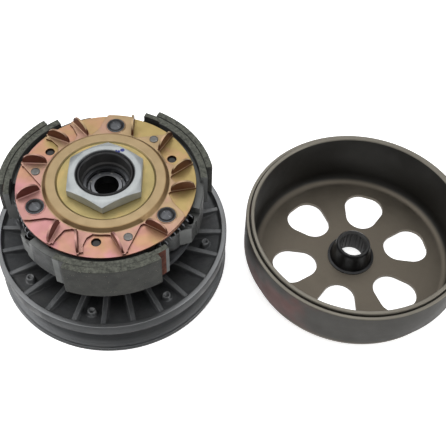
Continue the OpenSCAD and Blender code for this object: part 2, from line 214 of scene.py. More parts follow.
def plate(name, outlines, z0, z1, edge=0.25):
    """A flat plate between two heights from closed outlines; the first is the outside, the others are holes."""
    curve = bpy.data.curves.new(name, "CURVE")
    curve.dimensions = "2D"
    curve.fill_mode = "BOTH"
    curve.extrude = ((z1 - z0) / 2 - edge) * MM
    curve.bevel_depth = edge * MM
    curve.bevel_resolution = 2
    curve.offset = -edge * MM
    for outline in outlines:
        spline = curve.splines.new("POLY")
        spline.points.add(len(outline) - 1)
        for point, p in zip(spline.points, outline):
            point.co = (p[0] * MM, p[1] * MM, 0, 1)
        spline.use_cyclic_u = True
    holder = bpy.data.objects.new(name + "_curve", curve)
    bpy.context.scene.collection.objects.link(holder)
    bpy.context.view_layer.update()
    mesh = bpy.data.meshes.new_from_object(holder.evaluated_get(bpy.context.evaluated_depsgraph_get()))
    bpy.data.objects.remove(holder)
    mesh.transform(Matrix.Translation((0, 0, (z0 + z1) / 2 * MM)))
    bm = bmesh.new()
    bm.from_mesh(mesh)
    bmesh.ops.remove_doubles(bm, verts=bm.verts, dist=2e-6)
    bmesh.ops.recalc_face_normals(bm, faces=bm.faces)
    bm.to_mesh(mesh)
    bm.free()
    obj = bpy.data.objects.new(name, mesh)
    bpy.context.scene.collection.objects.link(obj)
    mesh.polygons.foreach_set("use_smooth", [True] * len(mesh.polygons))
    return obj


def wire(name, path, radius, sides=12):
    """A round wire along a path of points in mm, with flat ends."""
    points = [Vector(p) for p in path]
    vertices, faces = [], []
    first = (points[1] - points[0]).normalized()
    side = Vector((1, 0, 0)) if abs(first.z) > 0.9 else Vector((0, 0, 1))
    for i, p in enumerate(points):
        ahead = points[min(i + 1, len(points) - 1)] - points[max(i - 1, 0)]
        ahead.normalize()
        side = (side - ahead * side.dot(ahead)).normalized()
        up = ahead.cross(side)
        for k in range(sides):
            a = TURN * k / sides
            vertices.append(p + side * (radius * math.cos(a)) + up * (radius * math.sin(a)))
    for i in range(len(points) - 1):
        for k in range(sides):
            n = (k + 1) % sides
            faces.append((i * sides + k, i * sides + n, (i + 1) * sides + n, (i + 1) * sides + k))
    faces.append(tuple(range(sides)))
    faces.append(tuple(reversed(range((len(points) - 1) * sides, len(points) * sides))))
    return from_mesh(name, vertices, faces)


def apply_modifiers(obj):
    """Makes the modifiers' result the object's own mesh."""
    bpy.context.view_layer.update()
    made = bpy.data.meshes.new_from_object(obj.evaluated_get(bpy.context.evaluated_depsgraph_get()))
    old = obj.data
    obj.modifiers.clear()
    obj.data = made
    bpy.data.meshes.remove(old)
    return obj


def combine(obj, others, operation):
    """Unites obj with the others, or cuts them from it, and removes them."""
    for other in others:
        step = obj.modifiers.new("combine", "BOOLEAN")
        step.operation = operation
        step.solver = "EXACT"
        step.object = other
    apply_modifiers(obj)
    for other in others:
        bpy.data.objects.remove(other)
    return obj


def join(name, objects):
    """One object from several, each keeping its own closed surface."""
    bm = bmesh.new()
    for o in objects:
        bm.from_mesh(o.data)
    mesh = bpy.data.meshes.new(name)
    bm.to_mesh(mesh)
    bm.free()
    for o in objects:
        bpy.data.objects.remove(o)
    obj = bpy.data.objects.new(name, mesh)
    bpy.context.scene.collection.objects.link(obj)
    return obj


def round_edges(obj, width, angle=35, segments=2):
    """Rounds the sharp edges and keeps the flat faces flat."""
    bevel = obj.modifiers.new("edges", "BEVEL")
    bevel.width = width * MM
    bevel.segments = segments
    bevel.limit_method = "ANGLE"
    bevel.angle_limit = math.radians(angle)
    bevel.harden_normals = False
    apply_modifiers(obj)
    return even_shading(obj)


def even_shading(obj, angle=32):
    """Smooth shading that stops at edges sharper than the angle."""
    mesh = obj.data
    mesh.polygons.foreach_set("use_smooth", [True] * len(mesh.polygons))
    bm = bmesh.new()
    bm.from_mesh(mesh)
    for e in bm.edges:
        if len(e.link_faces) == 2:
            e.smooth = e.calc_face_angle(0.0) < math.radians(angle)
    bm.to_mesh(mesh)
    bm.free()
    weighted = obj.modifiers.new("normals", "WEIGHTED_NORMAL")
    weighted.keep_sharp = True
    return obj


# ---------------------------------------------------------------- pulley halves

def make_fixed_sheave():
    """Coned lower half of the belt pulley, standing on its rim."""
    boss_r, web = 26.0, 4.6
    rim_face = meet_z - (sheave_r - face_start_r) * slope
    tube_r = radius_of("hub_tube")
    outline = [
        (tube_r, 1), (boss_r, 1), (boss_r, meet_z - web), (face_start_r, meet_z - web), (sheave_r - 2.2, 0),
        (sheave_r, 0), (sheave_r, rim_face - 0.1), (sheave_r - 1.6, rim_face), (face_start_r, meet_z),
        (tube_r, meet_z)
    ]
    return lathe("fixed_sheave_turned", outline, 0.5, 288)


def make_movable_sheave():
    """Upper half: belt face below, and a cast dish with radial ribs and balance bosses above."""
    ribs, first_rib = 24, math.radians(2)
    pitch = TURN / ribs
    half_rib, fillet = 1.4, 1.3
    boss_circle, boss_r, boss_top = 60.8, 2.6, rim_top - 2.8
    wall, rib_top, deck_top, deck_r = 3.4, rim_top - 2.0, 20.0, 34.0
    bore_r = radius_of("cam_sleeve")
    face_z = dish_low.z
    floor_z, floor_edge_z = face_z + web_rise, rim_top - 4.0
    inner_wall_r = sheave_r - wall
    bosses = [first_rib + (k - 0.5) * pitch for k in range(0, ribs, 3)]

    # columns stay at fixed distances from each rib, and fill the bays evenly between them
    near = [-3.3, -2.7, -2.2, -1.8, -1.55, -1.3, -0.9, 0.9, 1.3, 1.55, 1.8, 2.2, 2.7, 3.3]
    bay = [k / 17 for k in range(1, 17)]
    columns = []
    for k in range(ribs):
        columns += [(k, "near", y) for y in near] + [(k, "bay", t) for t in bay]

    rows = [deck_r - 0.2 + (inner_wall_r - 0.4 - deck_r + 0.2) * k / 74 for k in range(75)]

    def place(column, r):
        k, kind, value = column
        if kind == "near":
            return first_rib + k * pitch + math.asin(max(-0.9, min(0.9, value / r)))
        edge = math.asin(near[-1] / r)
        return first_rib + k * pitch + edge + value * (pitch - 2 * edge)

    def smooth_max(a, b, width):
        d = max(width - abs(a - b), 0) / width
        return max(a, b) + d * d * width / 4

    def height(r, angle):
        out = max(0.0, r - face_start_r) / (inner_wall_r - 0.8 - face_start_r)
        floor = floor_z + out * (floor_edge_z - floor_z)
        floor = smooth_max(floor, deck_top + (deck_r + 1.0 - r) * 2.2, 1.2)
        wall_top = floor + max(0.0, (r - inner_wall_r + 1.4)) ** 2 * 0.8
        off = (angle - first_rib + pitch / 2) % pitch - pitch / 2
        across = abs(r * math.sin(off)) - half_rib
        crest = rib_top - max(0.0, 50.6 - r) * 0.37
        side = crest - max(0.0, across) * 9.0 if across > 0 else crest
        z = smooth_max(wall_top, min(crest, side), fillet)
        for b in bosses:
            d = math.hypot(r * math.cos(angle) - boss_circle * math.cos(b),
                           r * math.sin(angle) - boss_circle * math.sin(b))
            if d < boss_r + 1.5:
                boss = boss_top - max(0.0, d - boss_r) * 7.0
                if d < 1.25:
                    boss = boss_top - 1.6
                z = smooth_max(z, boss, 0.8)
        return z

    rim = [tuple(p) for p in soften([
        (inner_wall_r, rim_top - 2.0), (inner_wall_r + 0.1, rim_top), (sheave_r, rim_top),
        (sheave_r, face_z + (sheave_r - face_start_r) * slope), (face_start_r, face_z), (bore_r, face_z),
        (bore_r, deck_top), (deck_r, deck_top)
    ], 0.5)][1:-1]
    vertices, faces = [], []
    count = len(rows) + len(rim)
    for column in columns:
        for r in rows:
            a = place(column, r)
            vertices.append((r * math.cos(a), r * math.sin(a), height(r, a)))
        for r, z in rim:
            a = place(column, max(r, deck_r))
            vertices.append((r * math.cos(a), r * math.sin(a), z))
    for i in range(len(columns)):
        n = (i + 1) % len(columns)
        for j in range(count):
            m = (j + 1) % count
            faces.append((i * count + j, n * count + j, n * count + m, i * count + m))
    return from_mesh("movable_sheave_cast", vertices, faces)


def make_springs():
    """The torque spring between its seats, and the three shoe return springs."""
    low = span("main_spring")[0].z
    high = span("main_spring")[1].z
    wire_r, coil_r, turns = 2.05, 30.0, 3.1
    steps = 260
    path = []
    for i in range(steps + 1):
        u = i / steps
        lift = min(1.0, max(0.0, (u * turns - 0.25) / (turns - 0.5)))
        a = TURN * turns * u
        path.append((coil_r * math.cos(a), coil_r * math.sin(a),
                     low + wire_r + (high - low - 2 * wire_r) * lift))
    main = wire("torque_spring", path, wire_r, 16)

    returns = []
    for k, turn in enumerate(THIRDS):
        thin, radius, coils, z, hook = 0.5, 2.0, 8, 69.2, 7
        start = polar(HOOK_R, pivot_angle + turn + HOOK_FROM)
        end = polar(HOOK_R, pivot_angle + turn + HOOK_TO)
        ahead = (end - start).normalized()
        side = Vector((-ahead.y, ahead.x))
        path = [(start.x, start.y, z - hook)]
        for i in range(coils * 20 + 1):
            u = i / (coils * 20)
            a = TURN * coils * u - math.pi / 2
            p = start + (end - start) * u + side * (radius * math.cos(a))
            path.append((p.x, p.y, z + radius * math.sin(a)))
        path.append((end.x, end.y, z - hook))
        returns.append(wire(f"shoe_return_spring_{k + 1}", path, thin, 10))
    return main, returns


# ---------------------------------------------------------------- clutch

# fold line of each fin in one third of the plate: start radius, start angle, end radius, end angle
FOLDS = ((39.6, 23.2, 55, 29.5), (39.6, 41.2, 55, 50.1), (39.6, 71.6, 55, 77.7), (39.6, 102.2, 55, 108.4))
# corners of each window before its fold line: radius, angle from the pivot
WINDOWS = (((51.2, 8.6), (43.4, 13.4), (38.8, 21.4)), ((51, 32.6), (42, 33.2), (38.9, 38.8)),
           ((42.2, 52.8), (38.6, 57.5)), ((38.7, 99.8),))
OUTER_ANGLES = (6.2, 31.9, 51.2, 79.6)
PIN_CIRCLE = 43.6
RIVET_AT, POST_AT = -35.1, 60.3


def fan_outline():
    """Outside of the finned plate: petals on its rim with the windows between them."""
    points = []
    for turn in THIRDS:
        base = pivot_angle + turn
        for n, (r0, a0, _, _) in enumerate(FOLDS):
            before = FOLDS[n - 1][3] - (120 if n == 0 else 0)
            points += [(p, False) for p in arc(plate_r, base + before, base + OUTER_ANGLES[n])]
            points += [(polar(r, base + a), True) for r, a in WINDOWS[n]]
            points.append((polar(r0, base + a0), True))
    return round_corners(points, 1.3)


def round_corners(points, radius, steps=5):
    """Like soften, for points marked (point, is it a corner)."""
    out = []
    count = len(points)
    for i, (p, corner) in enumerate(points):
        back, ahead = points[i - 1][0] - p, points[(i + 1) % count][0] - p
        if not corner:
            out.append(p)
            continue
        turn = back.angle(ahead)
        reach = min(radius / math.tan(turn / 2), back.length * 0.4, ahead.length * 0.4)
        a, b = p + back.normalized() * reach, p + ahead.normalized() * reach
        for k in range(steps + 1):
            t = k / steps
            out.append(a * (1 - t) ** 2 + p * 2 * t * (1 - t) + b * t ** 2)
    return out


def circle(r, centre=(0.0, 0.0), count=64):
    return [polar(r, 360 * k / count, centre) for k in range(count)]


def hull_outline(spots, count=96):
    """Convex outline round circles given as (x, y, radius)."""
    points = []
    for k in range(count):
        way = polar(1, 360 * k / count)
        x, y, r = max(spots, key=lambda s: s[0] * way.x + s[1] * way.y + s[2])
        points.append(Vector((x, y)) + way * r)
    return points


def make_fin(fold, degrees):
    """One D-shaped fin, bent up out of the plate with a rounded root."""
    r0, a0, r1, a1 = fold
    foot, head = polar(r0, a0 + degrees), polar(r1, a1 + degrees)
    along = (head - foot).normalized()
    inward = Vector((-along.y, along.x))
    middle = (foot + head) / 2 - along * 0.4
    half, tall, thick, bend = 7.35, 8.0, 1.25, 1.7
    across, up = 28, 12
    # centre line of the bent sheet: a stub in the plate, a quarter bend, then straight up
    stub = 1.6
    sheet = [(bend + stub, 0.0), (bend, 0.0)]
    sheet += [(bend - bend * math.sin(math.pi / 12 * k), bend - bend * math.cos(math.pi / 12 * k))
              for k in range(1, 7)]
    base_z = fan_z + plate_t / 2
    vertices, faces = [], []
    for i in range(across + 1):
        s = -half + 2 * half * i / across
        crown = 1.5 + (tall - 1.5) * math.sqrt(max(0.0, 1 - (s / (half + 0.02)) ** 2))
        line = [Vector(p) for p in sheet]
        if crown > bend:
            line += [Vector((0.0, bend + (crown - bend) * k / up)) for k in range(1, up + 1)]
        else:
            line += [line[-1] + Vector((0, 0.001 * k)) for k in range(1, up + 1)]
        outside, inside = [], []
        for k, p in enumerate(line):
            ahead = line[min(k + 1, len(line) - 1)] - line[max(k - 1, 0)]
            ahead.normalize()
            normal = Vector((-ahead.y, ahead.x))
            outside.append(p - normal * thick / 2)
            inside.append(p + normal * thick / 2)
        loop = outside + list(reversed(inside))
        for n, z in loop:
            p = middle + along * s + inward * (n + thick / 2 + 0.1)
            vertices.append((p.x, p.y, base_z + z))
    rows = len(loop)
    for i in range(across):
        for j in range(rows):
            n = (j + 1) % rows
            faces.append((i * rows + j, (i + 1) * rows + j, (i + 1) * rows + n, i * rows + n))
    faces.append(tuple(range(rows)))
    faces.append(tuple(reversed(range(across * rows, (across + 1) * rows))))
    return from_mesh("fin", vertices, faces)


def make_fan_plate():
    """Pressed plate with a raised ring, a sunk seat for the nut, and twelve bent-up fins."""
    holes = [circle(19.0, count=120)]
    for turn in THIRDS:
        holes.append(circle(4.45, polar(pivot_r, pivot_angle + turn)))
        holes.append(circle(2.0, polar(PIN_CIRCLE, pivot_angle + turn + RIVET_AT), 40))
    petals = plate("fan_plate_pressed", [fan_outline()] + holes, fan_z + 0.02, fan_top, 0.3)
    seat = nut_low.z
    ring_h = 2.3
    ring = lathe("ring", [
        (17.4, seat - 1.5), (29.4, seat - 1.5), (30.6, fan_z + ring_h), (34.6, fan_z + ring_h),
        (37.2, fan_z + 0.3), (39.2, fan_z + 0.1), (39.2, fan_top - 0.12), (38.1, fan_top),
        (36.2, fan_top + ring_h), (30.4, fan_top + ring_h), (29.7, seat + 0.6), (29.2, seat), (17.4, seat)
    ], 0.7, 256)
    opening = plate("opening", [circle(38.4, count=256)], fan_z - 2, fan_top + 3, 0.01)
    combine(petals, [opening], "DIFFERENCE")
    pads = []
    for turn in THIRDS:
        centre = polar(pivot_r, pivot_angle + turn)
        pads.append(lathe("pad", [(4.42, fan_z + 0.3), (6.3, fan_z + 0.3), (6.3, fan_top + 0.05),
                                  (5.9, fan_top + 0.38), (4.9, fan_top + 0.38), (4.42, fan_top - 0.1)],
                          0.2, 64, centre))
    fins = [make_fin(f, pivot_angle + turn) for turn in THIRDS for f in FOLDS]
    combine(petals, [ring] + pads + fins, "UNION")
    petals.name = "fan_plate_pressed"
    return even_shading(petals, 38)


def make_front_plate():
    """Flat plate under the fins, seen through their windows."""
    holes = [circle(17.4, count=120)]
    for turn in THIRDS:
        holes.append(circle(4.42, polar(pivot_r, pivot_angle + turn)))
        holes.append(circle(2.8, polar(PIN_CIRCLE, pivot_angle + turn + POST_AT), 48))
        holes.append(circle(2.0, polar(PIN_CIRCLE, pivot_angle + turn + RIVET_AT), 40))
    flat = plate("front_plate_pressed", [circle(plate_r, count=288)] + holes,
                 plate_low.z, plate_high.z - 0.02, 0.3)
    return even_shading(flat)


def make_pivot_pins():
    """Pivot pins with a staked groove round a domed centre."""
    low = span("pivot_pins")[0].z
    made = []
    for turn in THIRDS:
        centre = polar(pivot_r, pivot_angle + turn)
        made.append(plug("pin", [
            (0, low), (4.35, low), (4.35, fan_top + 0.41), (5.6, fan_top + 0.41), (5.6, fan_top + 0.65),
            (5.0, fan_top + 0.82), (4.4, fan_top + 0.3), (4.0, fan_top + 0.4), (3.8, fan_top + 0.75),
            (2.9, fan_top + 1.1), (1.5, fan_top + 1.26), (0, fan_top + 1.28)
        ], 0.25, 64, centre))
    return join("pivot_pins_staked", made)


def make_rivets():
    low = span("plate_rivets")[0].z
    made = []
    for turn in THIRDS:
        centre = polar(PIN_CIRCLE, pivot_angle + turn + RIVET_AT)
        made.append(plug("rivet", [
            (0, low), (2.6, low), (2.6, plate_low.z), (1.98, plate_low.z), (1.98, fan_top), (2.75, fan_top),
            (2.7, fan_top + 0.45), (1.9, fan_top + 0.62), (0, fan_top + 0.66)
        ], 0.18, 48, centre))
    return join("plate_rivets_set", made)


def make_nut():
    """Hexagon nut with chamfered corners and a threaded bore."""
    flats, turned_by = 44.0, math.radians(32.2)
    low, high = nut_low.z, nut_high.z
    thread, crest = 17.62, 17.24
    chamfer_r, fall = flats / 2 - 0.6, math.tan(math.radians(27))
    per_side = 14
    columns = []
    for side in range(6):
        for k in range(per_side):
            columns.append(turned_by + side * TURN / 6 + math.atan(math.tan(TURN / 12) * (2 * k / per_side - 1))
                           + TURN / 12)
    turns = 5

    def section(a):
        across = (a - turned_by) % (TURN / 6) - TURN / 12
        outer = flats / 2 / math.cos(across) - 0.05
        top = min(high, high - (outer - chamfer_r) * fall)
        bore = []
        pitch = (high - low - 1.6) / turns
        for k in range(turns):
            z = low + 0.8 + k * pitch
            bore += [(crest, z + pitch * 0.15), (thread, z + pitch * 0.5), (crest, z + pitch * 0.85)]
        outline = [(18.1, low)] + bore
        outline += [(17.5, high - 0.5), (18.2, high), (20.2, high), (chamfer_r - 0.5, high)]
        outline += [(chamfer_r + (outer - chamfer_r) * t, high - (high - top) * t)
                    for t in (0.25, 0.5, 0.75, 0.96)]
        outline += [(outer, top - 0.15), (outer, top - 1.2), (outer, low + 0.5), (outer - 0.5, low)]
        outline += [(20.2, low)]
        return outline

    nut = turned("clutch_nut_cut", section, columns)
    return even_shading(nut, 22)


def make_hub_tube():
    """Hub tube: a ground running surface for the cam sleeve, a threaded end and the bearing seat."""
    bore, outer, thread = 13.0, radius_of("hub_tube"), 17.0
    shoulder = span("upper_spring_seat")[1].z
    ridge = []
    z = 77.6
    while z < nut_high.z - 2.4:
        ridge += [(thread + 0.18, z), (thread - 0.35, z + 0.5)]
        z += 1.0
    outline = [(bore, 1.0), (outer, 1.0), (outer, shoulder), (thread + 0.1, shoulder), (thread + 0.1, 77.0)]
    outline += ridge
    outline += [(thread + 0.1, tube_top - 0.6), (thread - 0.7, tube_top)]
    outline += [(15.5, tube_top), (15.0, tube_top - 0.5),
                (15.0, 77.2), (14.0, 76.4), (14.0, 74.7), (14.9, 74.7), (14.9, 73.4), (14.0, 73.4), (14.0, 66.0),
                (bore, 66.0)]
    return lathe("hub_tube_turned", outline, 0.12, 128, steps=2)


def sector_outline(r_out, r_in, start, end):
    return arc(r_out, start, end, step=2.0) + arc(r_in, end, start, step=2.0)


def make_shoe(number, turn):
    """Cast clutch shoe: boss and arm at its pivot, and the rim that carries the lining."""
    base = pivot_angle + turn
    step_z, web_top = 66.0, 71.5
    low, rim_low, rim_high = shoe_low.z, lining_low.z, shoe_high.z
    arm_r = 58.8
    arm = soften([*[tuple(p) for p in arc(arm_r, base + 13, base + 104, step=2.0)],
                  *[tuple(p) for p in arc(37.0, base + 104, base + 12, step=2.0)]], 0)
    web = plate("web", [arm], low, web_top, 0.5)
    boss = plate("boss", [circle(8.6, polar(pivot_r, base), 72)], low, step_z, 0.5)
    link = plate("link", [round_corners([(polar(37.8, base + 5), True), (polar(52.6, base), True),
                                         (polar(58.4, base + 7), True), (polar(58.4, base + 18), True),
                                         (polar(38.4, base + 18), True)], 1.0)],
                 low, step_z, 0.5)
    sector = sector_outline(RIM_OUT, RIM_IN, base + 38, base + 103.5)
    rim = plate("rim", [soften([tuple(p) for p in sector], 0)],
                rim_low, rim_high, 0.45)
    shoe = combine(web, [boss, link, rim], "UNION")
    cuts = [
        plate("cut", [circle(4.5, polar(pivot_r, base), 64)], low - 2, 80, 0.01),
        plate("cut", [circle(9.0, polar(PIN_CIRCLE, base + POST_AT), 72)], low - 2, 80, 0.01),
        plate("cut", [hull_outline([(*polar(HOOK_R, base + HOOK_TO - 120), 2.0),
                                    (*polar(HOOK_R + 1, base + HOOK_TO - 123), 2.0)])],
              low - 2, 80, 0.01),
        plate("cut", [circle(2.0, polar(HOOK_R, base + HOOK_FROM), 32)], low - 2, 80, 0.01),
        plate("cut", [circle(4.5, polar(46, base + 82), 48)], low - 2, 80, 0.01),
        plate("cut", [circle(6.0, polar(48, base + 31), 56)], low - 2, 80, 0.01),
        plate("cut", [sector_outline(70, 30, base - 14, base + 18)], step_z, 80, 0.01),
        plate("cut", [sector_outline(RIM_IN + 1, 30, base + 92, base + 107)], step_z, 80, 0.01),
    ]
    out = polar(PIN_CIRCLE, base + POST_AT)
    inwards = -out.normalized()
    side = Vector((-inwards.y, inwards.x))
    cuts.append(plate("cut", [[out + side * 7.5, out - side * 7.5, out - side * 7.5 + inwards * 20,
                               out + side * 7.5 + inwards * 20]], low - 2, 80, 0.01))
    combine(shoe, cuts, "DIFFERENCE")
    shoe.name = f"clutch_shoe_cast_{number}"
    return round_edges(shoe, 0.45, 40)


def make_lining(number, turn):
    """Bonded friction lining: a curved pad with eased edges and a slightly uneven, ground surface."""
    base = pivot_angle + turn
    around = 84
    r_in, r_out, low, high = RIM_OUT + 0.02, LINING_OUT, lining_low.z, lining_high.z
    start, end, ease = 45.0, 96.5, 0.55
    section = soften([(r_in, low), (r_out, low), (r_out, high), (r_in, high)], ease, 4)
    dense = []
    for i, p in enumerate(section):
        n = section[(i + 1) % len(section)]
        parts = max(1, int((n - p).length / 1.6))
        dense += [p.lerp(n, k / parts) for k in range(parts)]
    vertices, faces = [], []
    count = len(dense)
    for i in range(around + 1):
        t = i / around
        a = math.radians(base + start + (end - start) * t)
        # the ends are eased in by pulling the last rows towards the section's middle
        pull = max(0.0, 1 - min(i, around - i) / 1.0) * 0.35
        for r, z in dense:
            rr = r + (0.5 * (r_in + r_out) - r) * pull * 0.3
            zz = z + ((low + high) / 2 - z) * pull * 0.03
            q = Vector((rr * math.cos(a), rr * math.sin(a), zz))
            wobble = noise.noise(q * 0.55) * 0.10 + noise.noise(q * 1.9) * 0.05
            rough = wobble if r > r_in + 0.6 else 0.0
            rr -= abs(rough) if r > r_out - 0.8 else 0.0
            zz -= abs(rough) * (1 if z > high - 0.8 else 0)
            vertices.append((rr * math.cos(a), rr * math.sin(a), zz))
    for i in range(around):
        for j in range(count):
            faces.append((i * count + j, (i + 1) * count + j, (i + 1) * count + (j + 1) % count,
                          i * count + (j + 1) % count))
    faces.append(tuple(range(count)))
    faces.append(tuple(reversed(range(around * count, (around + 1) * count))))
    return from_mesh(f"friction_lining_{number}", vertices, faces)


# ---------------------------------------------------------------- bell

def make_bell_drum():
    """Pressed drum with six rounded-triangle vents in its floor."""
    inner, outer, floor = 67.0, bell_outer, 2.5
    bend_out, bend_in = 9.0, 6.5
    outline = [(11.95, 0.0)]
    outline += [(outer - bend_out + bend_out * math.cos(math.radians(a)),
                 bend_out + bend_out * math.sin(math.radians(a))) for a in range(-90, 1, 6)]
    outline += [(outer, bell_top - 0.5), (outer - 0.4, bell_top)]
    outline += [(inner + 0.5, bell_top), (inner, bell_top - 0.6)]
    outline += [(inner - bend_in + bend_in * math.cos(math.radians(a)),
                 floor + bend_in + bend_in * math.sin(math.radians(a))) for a in range(0, -91, -6)]
    outline.append((11.95, floor))
    section = [tuple(p) for p in soften(outline, 0.12, 2)]
    drum = turned("bell_drum_pressed", lambda a: section, 288, (bell_x, bell_y))
    vents = []
    for k in range(6):
        vents.append(plate("vent", [vent_outline(14.4 + 60 * k)], -1.5, 5.0, 0.01))
    combine(drum, vents, "DIFFERENCE")
    drum.name = "bell_drum_pressed"
    return even_shading(drum, 30)


def vent_outline(degrees):
    """Outline round two wide circles and one nearer the hub."""
    ahead, side = polar(1, degrees), polar(1, degrees + 90)
    spots = ((42.4, -2.6, 10.7), (42.4, 2.6, 10.7), (34.6, 0.0, 10.6))
    return hull_outline([(*(Vector((bell_x, bell_y)) + ahead * x + side * y), r) for x, y, r in spots])


def make_bell_band():
    """Balance ring pressed round the drum, a hair lower than its mouth."""
    low, high = band_low.z, band_high.z
    return lathe("bell_band_turned", [
        (bell_outer, low), (band_r - 0.7, low), (band_r, low + 0.7), (band_r, high - 0.5), (band_r - 0.5, high),
        (bell_outer + 1.0, high), (bell_outer + 0.55, high - 0.9), (bell_outer, high - 0.9)
    ], 0.2, 288, (bell_x, bell_y))


def make_bell_hub():
    """Hub of the bell: a tapered boss with internal splines."""
    splines = 20
    columns = splines * 10

    def section(a):
        wave = math.cos(a * splines)
        bore = 8.5 - 0.5 * max(0.0, min(1.0, 0.5 + 1.6 * wave))
        outline = [(8.5, 0.0), (11.9, 0.0), (11.9, 2.5), (15.4, 2.5), (15.4, 3.3), (14.0, 3.6), (13.3, 4.6),
                   (11.5, 14.6),
                   (11.15, hub_top - 0.7), (10.4, hub_top), (9.5, hub_top), (8.5, hub_top - 1.0),
                   (bore, hub_top - 1.7), (bore, 1.8), (8.5, 0.8)]
        return outline

    hub = turned("bell_hub_splined", section, columns, (bell_x, bell_y))
    return even_shading(hub, 40)


# ---------------------------------------------------------------- materials

class Look:
    """A procedural material on a Principled shader. Its patterns lie in the object's own space, in metres."""

    def __init__(self, name, color, metallic, roughness, **sockets):
        self.material = bpy.data.materials.new(name)
        self.material.use_nodes = True
        self.tree = self.material.node_tree
        self.shader = next(n for n in self.tree.nodes if n.type == "BSDF_PRINCIPLED")
        self.place = self.node("ShaderNodeTexCoord").outputs["Object"]
        self.set("Base Color", (*color, 1))
        self.set("Metallic", metallic)
        self.set("Roughness", roughness)
        for socket, value in sockets.items():
            self.set(socket.replace("_", " "), value)

    def node(self, kind, inputs=(), **settings):
        made = self.tree.nodes.new(kind)
        for key, value in settings.items():
            setattr(made, key, value)
        for key, value in dict(inputs).items():
            self.connect(value, made.inputs[key])
        return made

    def connect(self, value, socket):
        if isinstance(value, bpy.types.NodeSocket):
            self.tree.links.new(value, socket)
        else:
            socket.default_value = value

    def set(self, socket, value):
        self.connect(value, self.shader.inputs[socket])
        return self

    def noise(self, scale, detail=4.0, rough=0.55, place=None, distortion=0.0):
        return self.node("ShaderNodeTexNoise", {"Vector": place or self.place, "Scale": scale, "Detail": detail,
                                                "Roughness": rough, "Distortion": distortion}).outputs["Fac"]

    def speckle(self, scale, place=None):
        """Distance to the nearest of many scattered points."""
        inputs = {"Vector": place or self.place, "Scale": scale}
        return self.node("ShaderNodeTexVoronoi", inputs).outputs["Distance"]

    def math(self, operation, a, b=0.0, clamp=False):
        return self.node("ShaderNodeMath", {0: a, 1: b}, operation=operation, use_clamp=clamp).outputs[0]

    def step(self, value, start, end, low=0.0, high=1.0):
        """Goes smoothly from low to high as the value goes from start to end."""
        inputs = {"Value": value, "From Min": start, "From Max": end, "To Min": low, "To Max": high}
        return self.node("ShaderNodeMapRange", inputs, interpolation_type="SMOOTHSTEP").outputs["Result"]

    def ramp(self, value, *stops):
        made = self.node("ShaderNodeValToRGB", {"Fac": value})
        points = made.color_ramp.elements
        while len(points) < len(stops):
            points.new(0.5)
        for point, (at, color) in zip(points, stops):
            point.position = at
            point.color = (*color, 1)
        return made.outputs["Color"]

    def mix(self, amount, a, b, blend="MIX"):
        made = self.node("ShaderNodeMix", data_type="RGBA", blend_type=blend)
        self.connect(amount, made.inputs["Factor"])
        for key, value in ((6, a), (7, b)):
            self.connect((*value, 1) if isinstance(value, tuple) else value, made.inputs[key])
        return made.outputs[2]

    def tint(self, color, other, amount, share):
        """The color with some of another over it, up to that share where the amount is 1."""
        return self.mix(self.math("MULTIPLY", amount, share), color, other)

    def mottle(self, pattern, dark, light):
        """Drifts between two colors with a pattern."""
        return self.ramp(pattern, (0.3, dark), (0.7, light))

    def around(self, centre=(0.0, 0.0)):
        """Distance from an upright axis, height, and a place that is the same all the way round that axis."""
        moved = self.node("ShaderNodeVectorMath", {0: self.place, 1: (centre[0] * MM, centre[1] * MM, 0)},
                          operation="SUBTRACT").outputs[0]
        parts = self.node("ShaderNodeSeparateXYZ", {0: moved})
        flat = self.node("ShaderNodeCombineXYZ", {0: parts.outputs[0], 1: parts.outputs[1]}).outputs[0]
        radius = self.node("ShaderNodeVectorMath", {0: flat}, operation="LENGTH").outputs["Value"]
        ring = self.node("ShaderNodeCombineXYZ", {0: radius, 2: parts.outputs[2]}).outputs[0]
        return radius, parts.outputs[2], ring

    def height_facing(self):
        """How far the surface faces up: 1 on top, 0 on the sides, -1 below."""
        normal = self.node("ShaderNodeTexCoord").outputs["Normal"]
        return self.node("ShaderNodeSeparateXYZ", {0: normal}).outputs[2]

    def edges(self, start=0.52, end=0.58):
        """1 where the surface turns sharply outwards."""
        return self.step(self.node("ShaderNodeNewGeometry").outputs["Pointiness"], start, end)

    def bump(self, height, depth, after=None):
        """Raises the surface by up to that many mm."""
        inputs = {"Height": height, "Distance": depth * MM, "Strength": 1.0}
        if after:
            inputs["Normal"] = after
        normal = self.node("ShaderNodeBump", inputs).outputs["Normal"]
        self.set("Normal", normal)
        return normal


def cast_look():
    """Sand-cast alloy: pebbled skin and stains, painted shade that darkens it towards the axis, and a painted
    highlight on sharp edges.
    """
    look = Look("cast_alloy", (0.17, 0.17, 0.17), 0.75, 0.5)
    patches = look.noise(60, 5, 0.6)
    color = look.ramp(patches, (0.3, (0.085, 0.089, 0.093)), (0.52, (0.135, 0.139, 0.143)),
                      (0.75, (0.185, 0.185, 0.183)))
    stains = look.step(look.noise(140, 6, 0.7), 0.56, 0.72)
    color = look.tint(color, (0.10, 0.095, 0.085), stains, 0.5)
    radius, _, _ = look.around()
    # painted shade: darker towards the axis, where the clutch shades the dish
    color = look.mix(look.step(radius, 0.061, 0.046, 0.0, 0.6), color, (0.045, 0.046, 0.048))
    # painted highlight on sharp convex edges
    color = look.tint(color, (0.27, 0.275, 0.275), look.edges(), 0.35)
    look.set("Base Color", color)
    look.set("Roughness", look.step(patches, 0.25, 0.8, 0.6, 0.42))
    after = look.bump(look.noise(900, 4, 0.6), 0.10)
    look.bump(look.noise(2600, 2), 0.04, after)
    return look.material


